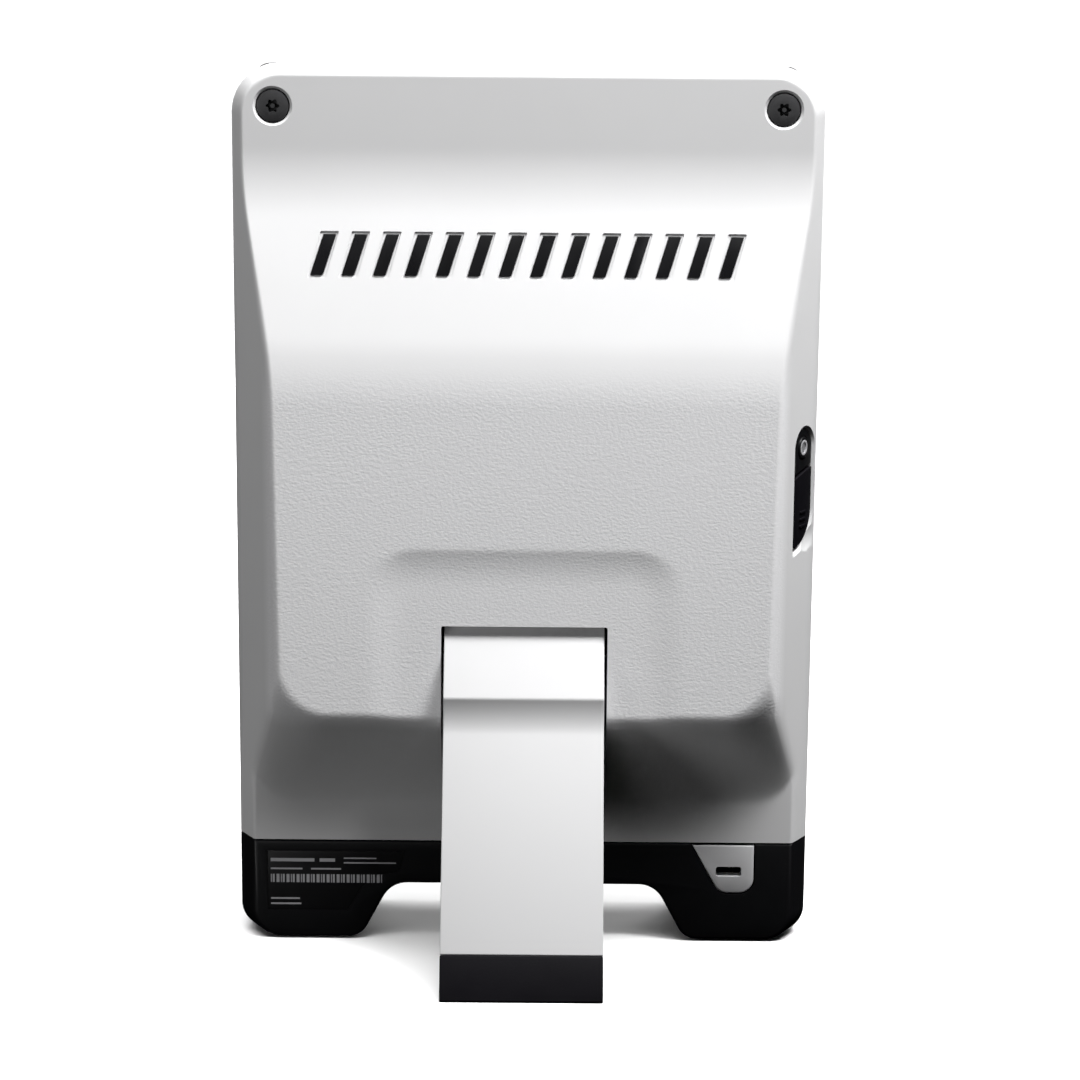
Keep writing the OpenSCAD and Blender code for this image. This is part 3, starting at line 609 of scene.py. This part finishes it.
def leg_block(name, outline, half, edge=0.0, corners=0.0):
    """A solid across the leg, from an outline of (a, b)."""
    return prism(name, outline, lambda a, b, x: on_leg(x, a, b), -half, half, edge, corners)


def square(a0, b0, a1, b1):
    """A rectangle between two opposite corners."""
    return [(a0, b0), (a1, b0), (a1, b1), (a0, b1)]


def make_leg():
    """The white leg, open on its inner side for the cover plate, and its rubber foot."""
    half = LEG_W / 2
    leg = leg_block("leg_blade", leg_outline(), half, edge=0.45, corners=0.35)
    cuts = [
        leg_block("core", square(INNER_A - 1, 27, PLATE_A - WALL, FOOT_B - 4), half - 2.5),
        leg_block("rebate", square(INNER_A - 1, 25.5, INNER_A + 1.6, FOOT_B - 2.5), half - 1.3),
        leg_block("tongue_way", square(INNER_A + 2, FOOT_B - 4, INNER_A + 5, FOOT_B + 1), half - 6.3),
        rod("pin_way", at(0, PIVOT_DEPTH, PIVOT_Z), RIGHT, LEG_BORE_R, -30, 30, 64),
    ]
    combine(leg, cuts)
    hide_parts("leg")
    dress(leg, "leg", leg_white)

    heel, toe = PLATE_A - 13.6, PLATE_A
    foot_outline = [(toe, FOOT_B + 0.05), (toe, sole(toe) - 0.6)] + [
        (a, sole(a)) for a in np.linspace(toe - 0.6, heel + 0.6, 9)
    ] + [(heel, sole(heel) - 0.9), (heel + 1.6, FOOT_B + 4), (INNER_A - 1.2, FOOT_B + 0.05)]
    foot = leg_block("leg_shoe", foot_outline, half, edge=0.5, corners=0.3)
    tongue = leg_block("tongue", square(INNER_A + 2.1, FOOT_B - 3.9, INNER_A + 4.9, FOOT_B + 1), half - 6.5)
    combine(foot, [tongue], "UNION")
    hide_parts("leg_foot")
    return dress(foot, "leg", black_rubber)


# ---------------------------------------------------------------- side controls, badge and screws

def make_side_controls():
    """The flexible door with its ribs, and the round button with its ring."""
    def place(v, z, t):
        return on_side(t, v, z)

    door = prism("port_flap", side_outline(-0.4, 0), place, -1.9, -0.25, edge=0.3, corners=0.25)
    w, h = RIB_HALF_W, RIB_HALF_H
    ribs = [prism("rib", round_box(-w, z - h, w, z + h, h - 0.01, 4), place, -0.4, 0.12, 0.1)
            for z in RIB_ROWS]
    combine(door, ribs, "UNION")
    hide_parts("port_door")
    dress(door, "door", black_rubber)

    centre = on_side(0, 0, BUTTON_Z)
    r, stem_r, dip_r = BUTTON_R, 1.4, MARK_R1 + 0.1
    profile = [(stem_r, -4.7), (stem_r, -3.8), (r, -3.8), (r, -0.55), (r - 0.12, -0.3), (r - 0.4, -0.2),
               (dip_r + 0.05, -0.2), (dip_r, -0.5), (0.1, -0.5)]
    cap = turned("power_cap", profile, centre, OUT, 64)
    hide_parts("power_button")
    dress(cap, "button", black_plastic)
    profile = [(MARK_R1, -0.49), (MARK_R1, -0.25), (MARK_R1 - 0.1, -0.2), (MARK_R0 + 0.1, -0.2),
               (MARK_R0, -0.25), (MARK_R0, -0.49)]
    mark = turned("power_mark", profile, centre, OUT, 64)
    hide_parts("power_ring")
    dress(mark, "button", mark_white)


def make_badge():
    """The row of slanted bars in their pockets on the ramp."""
    bars = [prism("badge_bar", bar_outline(i, 0), lambda x, u, t: on_ramp(x, t, u), -0.75, 0.06, 0.12, 0.3)
            for i in range(BAR_COUNT)]
    badge = bars[0]
    badge.name = "badge"
    combine(badge, bars[1:], "UNION")
    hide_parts("badge_bars")
    return dress(badge, "case", badge_black)


def make_case_screws():
    """The two upper screws, with six-lobed sockets that have a post in the middle."""
    for s, side in ((-1, "left"), (1, "right")):
        centre = at(s * SCREW_X, 0, SCREW_Z)
        r, top = SCREW_HEAD_R, UPPER_DEPTH - 0.2
        neck = SCREW_SEAT + 0.1
        profile = [(0.4, -17), (SCREW_SHAFT_R, -16.4), (SCREW_SHAFT_R, neck), (r, neck), (r, top - 0.5),
                   (r - 0.15, top - 0.15), (r - 0.5, top)]
        screw = turned(f"case_screw_{side}", profile, centre, BACK, 64)
        star = []
        for t in [math.radians(a) for a in range(0, 360, 6)]:
            reach = SOCKET_R + SOCKET_LOBE * math.cos(6 * t)
            star.append((s * SCREW_X + reach * math.cos(t), SCREW_Z + reach * math.sin(t)))
        socket = slab("socket", star, top - 1.3, top + 1)
        combine(socket, [rod("post", centre, BACK, SOCKET_POST_R, top - 2, top + 2, 24)])
        combine(screw, [socket])
        if side == "left":
            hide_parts("case_screws")
        dress(screw, "case", black_steel)


def make_front_panels():
    """The radar cover, the display window above it and the camera window."""
    low, high = -FRONT_DEPTH, FACE_RECESS - FRONT_DEPTH - 0.05
    margin = FACE_MARGIN + PANEL_GAP
    w, top, r = HALF_W - margin, CASE_H - margin, CORNER_R - margin
    outline = square(-w, RADOME_Z0 - 1 + PANEL_GAP, w, RADOME_Z1)
    radome = slab("radome_panel", outline, low, high, edge=0.4, corners=0.4)
    combine(radome, [rod("camera_way", at(0, -FRONT_DEPTH, CAMERA_Z), BACK, CAMERA_R + 0.1, -2, 4, 64)])
    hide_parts("radome_cover")
    dress(radome, "case", black_plastic)
    z0 = RADOME_Z1 + 0.4
    outline = [(-w, z0), (w, z0)] + arc(w - r, top - r, r, 0, 90) + arc(r - w, top - r, r, 90, 180)
    window = slab("display_glass", outline, low, high - 0.2, edge=0.3)
    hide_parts("display_window")
    dress(window, "case", dark_glass)
    profile = [(CAMERA_R, -1.6), (CAMERA_R, -0.3), (CAMERA_R - 0.1, -0.1), (CAMERA_R - 0.3, 0)]
    lens = turned("camera_glass", profile, at(0, -FRONT_DEPTH, CAMERA_Z), -BACK, 64)
    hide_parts("camera_window")
    dress(lens, "case", dark_glass)


# ---------------------------------------------------------------- materials

def new_material(name, roughness=0.5, metallic=0.0, specular=0.5, coat=0.0, coat_roughness=0.1):
    """An empty procedural material: its node tree, its shader and its object coordinates."""
    material = bpy.data.materials.new(name)
    material.use_nodes = True
    tree = material.node_tree
    shader = tree.nodes["Principled BSDF"]
    shader.inputs["Metallic"].default_value = metallic
    shader.inputs["Roughness"].default_value = roughness
    shader.inputs["Specular IOR Level"].default_value = specular
    shader.inputs["Coat Weight"].default_value = coat
    shader.inputs["Coat Roughness"].default_value = coat_roughness
    place = tree.nodes.new("ShaderNodeTexCoord").outputs["Object"]
    return material, tree, shader, place


def noise(tree, place, size_mm, detail=2.0, stretch=(1, 1, 1)):
    """A noise whose grains are about size_mm across, stretched along the axes."""
    if stretch != (1, 1, 1):
        scale = tree.nodes.new("ShaderNodeMapping")
        scale.inputs["Scale"].default_value = stretch
        tree.links.new(place, scale.inputs["Vector"])
        place = scale.outputs["Vector"]
    node = tree.nodes.new("ShaderNodeTexNoise")
    node.inputs["Scale"].default_value = 1 / (size_mm * MM)
    node.inputs["Detail"].default_value = detail
    tree.links.new(place, node.inputs["Vector"])
    return node.outputs["Fac"]


def remap(tree, value, low, high, to_low, to_high):
    """Maps a value's range from low to high onto another range."""
    node = tree.nodes.new("ShaderNodeMapRange")
    for name, number in (("From Min", low), ("From Max", high), ("To Min", to_low), ("To Max", to_high)):
        node.inputs[name].default_value = number
    tree.links.new(value, node.inputs["Value"])
    return node.outputs["Result"]


def mix_colours(tree, factor, a, b):
    """Mixes two colours, each given as numbers or as a socket."""
    node = tree.nodes.new("ShaderNodeMix")
    node.data_type = "RGBA"
    tree.links.new(factor, node.inputs["Factor"])
    for name, colour in (("A", a), ("B", b)):
        if isinstance(colour, bpy.types.NodeSocket):
            tree.links.new(colour, node.inputs[name])
        else:
            node.inputs[name].default_value = (*colour, 1)
    return node.outputs["Result"]


def multiply(tree, a, b):
    """The product of two sockets."""
    node = tree.nodes.new("ShaderNodeMath")
    node.operation = "MULTIPLY"
    tree.links.new(a, node.inputs[0])
    tree.links.new(b, node.inputs[1])
    return node.outputs[0]


def add_bump(tree, shader, height, distance_mm, strength=1.0):
    """Adds a bump on top of those the shader already has."""
    node = tree.nodes.new("ShaderNodeBump")
    node.inputs["Distance"].default_value = distance_mm * MM
    node.inputs["Strength"].default_value = strength
    tree.links.new(height, node.inputs["Height"])
    previous = shader.inputs["Normal"].links
    if previous:
        tree.links.new(previous[0].from_socket, node.inputs["Normal"])
    tree.links.new(node.outputs["Normal"], shader.inputs["Normal"])


def surface(name, colour, vary, roughness, rough_vary, grain_mm, grain_height, **options):
    """A material whose colour and roughness drift slowly and whose surface has a fine grain."""
    material, tree, shader, place = new_material(name, roughness, **options)
    drift = remap(tree, noise(tree, place, 38, 3), 0.3, 0.7, 0, 1)
    darker = tuple(c * (1 - vary) for c in colour)
    tree.links.new(mix_colours(tree, drift, colour, darker), shader.inputs["Base Color"])
    patches = noise(tree, place, 9, 4)
    tree.links.new(remap(tree, patches, 0.3, 0.7, roughness - rough_vary, roughness + rough_vary),
                   shader.inputs["Roughness"])
    add_bump(tree, shader, noise(tree, place, grain_mm, 3), grain_height)
    return material, tree, shader, place


WHITE = (0.77, 0.77, 0.775)
# A lighter white for the bulge's face: painted light that brightens the face beyond what the lamps give it.
PAINTED_LIGHT_FACE_WHITE = (0.88, 0.88, 0.89)


def textured_white_painted_light():
    """White moulding: a fine satin skin everywhere, and a coarser spark-eroded skin on the bulge, whose face
    is painted lighter as painted light.
    """
    material, tree, shader, place = surface("white_textured_painted_light", WHITE, 0.02, 0.58, 0.05, 0.35, 0.006)
    parts = tree.nodes.new("ShaderNodeSeparateXYZ")
    tree.links.new(place, parts.inputs["Vector"])
    # The mask covers the bulge's face: it places the real spark-eroded skin and also the painted light of the
    # lighter white.
    low = remap(tree, parts.outputs["Z"], (BULGE_Z - 4) * MM, (BULGE_Z + 1) * MM, 0, 1)
    high = remap(tree, parts.outputs["Z"], 0.172, 0.160, 0, 1)
    back = remap(tree, parts.outputs["Y"], (JOINT_Y - 15) * MM, (JOINT_Y - 18.5) * MM, 0, 1)
    mask = multiply(tree, multiply(tree, low, high), back)
    base = shader.inputs["Base Color"].links[0].from_socket
    # Painted light: the bulge's face gets the lighter white.
    tree.links.new(mix_colours(tree, mask, base, PAINTED_LIGHT_FACE_WHITE), shader.inputs["Base Color"])
    skin = noise(tree, place, 1.0, 2.5, (1, 1, 1.55))
    add_bump(tree, shader, multiply(tree, skin, mask), 0.2, 0.45)
    return material


def smooth_white():
    return surface("white_smooth", WHITE, 0.02, 0.54, 0.05, 0.3, 0.005)[0]


def leg_white():
    return surface("leg_white", (0.74, 0.74, 0.745), 0.015, 0.38, 0.05, 0.3, 0.004)[0]


def black_plastic():
    return surface("black_plastic", (0.006, 0.006, 0.007), 0.1, 0.42, 0.03, 0.28, 0.008, specular=0.35)[0]


def black_rubber():
    return surface("black_rubber", (0.005, 0.0045, 0.0065), 0.3, 0.6, 0.08, 0.4, 0.02, specular=0.12)[0]


def badge_black():
    return surface("badge_black", (0.007, 0.007, 0.008), 0.2, 0.3, 0.04, 0.3, 0.004, coat=0.25)[0]


def label_black():
    return surface("label_black", (0.010, 0.010, 0.011), 0.2, 0.34, 0.04, 0.5, 0.003)[0]


def mark_white():
    return surface("mark_white", (0.52, 0.52, 0.54), 0.3, 0.5, 0.06, 0.4, 0.004)[0]


def lock_grey():
    return surface("lock_grey", (0.74, 0.74, 0.75), 0.06, 0.42, 0.06, 0.25, 0.01, metallic=0.1)[0]


def black_steel():
    return surface("black_steel", (0.075, 0.075, 0.078), 0.3, 0.42, 0.08, 0.5, 0.01, metallic=0.3)[0]


def dark_glass():
    return surface("dark_glass", (0.010, 0.011, 0.013), 0.3, 0.08, 0.02, 60, 0.002, coat=0.6,
                   coat_roughness=0.03)[0]


def steel():
    material, tree, shader, place = surface("steel", (0.56, 0.56, 0.57), 0.1, 0.32, 0.08, 0.6, 0.006,
                                            metallic=1.0)
    add_bump(tree, shader, noise(tree, place, 0.25, 2, (0.05, 1, 1)), 0.01)
    return material


def aluminium():
    material, tree, shader, place = surface("aluminium", (0.72, 0.72, 0.73), 0.08, 0.38, 0.07, 0.5, 0.005,
                                            metallic=1.0)
    add_bump(tree, shader, noise(tree, place, 0.2, 2, (0.04, 1, 1)), 0.012)
    return material


def brass():
    return surface("brass", (0.66, 0.46, 0.17), 0.2, 0.3, 0.08, 0.6, 0.006, metallic=1.0)[0]


def circuit_board():
    """Solder mask over faint tracks."""
    material, tree, shader, place = surface("circuit_board", (0.012, 0.085, 0.030), 0.2, 0.35, 0.05, 0.6,
                                            0.004, coat=0.3)
    bricks = tree.nodes.new("ShaderNodeTexBrick")
    bricks.inputs["Scale"].default_value = 180
    for name, level in (("Color1", 1), ("Color2", 1), ("Mortar", 0)):
        bricks.inputs[name].default_value = (level, level, level, 1)
    tree.links.new(place, bricks.inputs["Vector"])
    add_bump(tree, shader, bricks.outputs["Color"], 0.04, 0.6)
    return material


def battery_wrap():
    return surface("battery_wrap", (0.03, 0.07, 0.26), 0.15, 0.3, 0.05, 4, 0.05, coat=0.2)[0]


def tape():
    return surface("tape", (0.16, 0.16, 0.165), 0.3, 0.65, 0.08, 0.6, 0.02)[0]


def chip_plastic():
    return surface("chip_plastic", (0.02, 0.02, 0.021), 0.3, 0.55, 0.08, 0.3, 0.01)[0]


MADE = {}


def material_of(maker):
    """The maker's material, made once."""
    if maker not in MADE:
        MADE[maker] = maker()
    return MADE[maker]


def dress(obj, body, maker):
    """Gives a new piece its shading, material and body."""
    smooth(obj)
    obj.data.materials.clear()
    obj.data.materials.append(material_of(maker))
    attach(obj, body)
    return obj


CAD_MATERIALS = {
    tape: ["case_seal", "window_tape"],
    steel: ["base_screws", "chassis_screws", "board_screws", "battery_screws", "bracket_screws", "hinge_pin",
            "pin_clips", "leg_plate_screws", "radar_shield", "display_frame", "hinge_bracket", "usb_port",
            "wireless_module"],
    aluminium: ["chassis_plate", "heat_sink"],
    brass: ["radar_patches"],
    circuit_board: ["radar_board", "main_board", "camera_board", "side_board"],
    chip_plastic: ["board_chips", "power_switch", "friction_washers"],
    black_plastic: ["battery_tray", "camera_barrel", "leg_plate", "side_tray"],
    black_rubber: ["foot_pads"],
    dark_glass: ["display_panel", "camera_lens"],
    battery_wrap: ["battery_pack"],
}


def dress_cad_nodes():
    """Gives the CAD nodes that stay their materials."""
    for maker, names in CAD_MATERIALS.items():
        for name in names:
            obj = nodes[name]
            obj.data.materials.clear()
            obj.data.materials.append(material_of(maker))
            obj.data.update()


# ---------------------------------------------------------------- studio

STUDIO_MIDDLE = Vector((0, 0, 0.12))


def make_floor():
    """A wide pale floor that curves up far away. It takes shadows, but throws no light at the object."""
    bm = bmesh.new()
    reach, cells, flat_reach, curve = 30, 60, 8, 0.02
    bmesh.ops.create_grid(bm, x_segments=cells, y_segments=cells, size=reach)
    for v in bm.verts:
        v.co.z = curve * max(v.co.to_2d().length - flat_reach, 0) ** 2
    floor = link("floor", bm)
    floor.visible_diffuse = False
    floor.visible_glossy = False
    pale = surface("pale_floor", (0.9, 0.9, 0.9), 0.01, 0.85, 0.05, 8, 0.02, specular=0.0)[0]
    floor.data.materials.append(pale)


def add_light(name, position, size, power):
    """A soft box light that faces the middle of the object."""
    light = bpy.data.lights.new(name, "AREA")
    light.shape = "RECTANGLE"
    light.size, light.size_y = size
    light.energy = power
    obj = bpy.data.objects.new(name, light)
    bpy.context.scene.collection.objects.link(obj)
    obj.location = position
    obj.rotation_mode = "QUATERNION"
    obj.rotation_quaternion = (STUDIO_MIDDLE - Vector(position)).to_track_quat("-Z", "Y")


def add_floor_light():
    """A broad light for the floor alone, so that it stays pale right to the horizon."""
    light = bpy.data.lights.new("floor_light", "SUN")
    light.energy = 4.2
    light.angle = math.radians(70)
    obj = bpy.data.objects.new("floor_light", light)
    bpy.context.scene.collection.objects.link(obj)
    lit = bpy.data.collections.new("lit_by_floor_light")
    lit.objects.link(bpy.data.objects["floor"])
    obj.light_linking.receiver_collection = lit


def make_dome():
    """A soft sky, brightest overhead and dark at and below the horizon."""
    world = bpy.data.worlds.new("studio")
    world.use_nodes = True
    tree = world.node_tree
    direction = tree.nodes.new("ShaderNodeTexCoord").outputs["Generated"]
    parts = tree.nodes.new("ShaderNodeSeparateXYZ")
    tree.links.new(direction, parts.inputs["Vector"])
    sky = mix_colours(tree, remap(tree, parts.outputs["Z"], 0, 1, 0, 1), (0, 0, 0), (0.98, 0.97, 1.0))
    tree.links.new(sky, tree.nodes["Background"].inputs["Color"])
    tree.nodes["Background"].inputs["Strength"].default_value = 0.03
    bpy.context.scene.world = world


def make_studio():
    """The floor, the sky and the lights: the key light stands high on the right."""
    make_floor()
    make_dome()
    bpy.context.scene.view_settings.view_transform = "Standard"
    add_light("key", (0.42, -0.22, 0.98), (0.35, 0.35), 14.8)
    add_light("top", (0, -0.12, 0.95), (0.8, 0.45), 6.0)
    add_light("top_left", (-0.4, -0.25, 0.95), (0.4, 0.4), 0.4)
    add_light("fill", (-0.95, -0.7, 0.12), (0.4, 0.3), 2.3)
    add_light("front", (0.3, 1.2, 0.55), (0.8, 0.5), 9.0)
    add_light("front_side", (-0.4, 1.15, 0.3), (0.4, 0.5), 3.0)
    add_light("front_low", (-0.5, -1.1, 0.06), (0.5, 0.2), 0.4)
    add_floor_light()


def make_camera():
    """The camera stands behind the case and a little above it, rolled very slightly."""
    distance, lift, roll = 0.8173, math.radians(11.44), math.radians(0.47)
    target = at(4.18, 0, 117.5)
    away = Vector((0, -math.cos(lift), math.sin(lift)))
    up = RIGHT.cross(-away)
    turned_right = RIGHT * math.cos(roll) + up * math.sin(roll)
    turned_up = up * math.cos(roll) - RIGHT * math.sin(roll)
    data = bpy.data.cameras.new("camera")
    data.sensor_width = 36
    data.lens = 95.14
    data.clip_start = 0.01
    camera = bpy.data.objects.new("camera", data)
    bpy.context.scene.collection.objects.link(camera)
    camera.matrix_world = Matrix.Translation(target + away * distance) @ Matrix(
        (turned_right, turned_up, away)).transposed().to_4x4()
    bpy.context.scene.camera = camera


make_camera()
make_rear_cover()
make_front_housing()
make_base()
make_lock_plate()
make_rating_plate()
make_leg()
make_side_controls()
make_badge()
make_case_screws()
make_front_panels()
dress_cad_nodes()
make_studio()
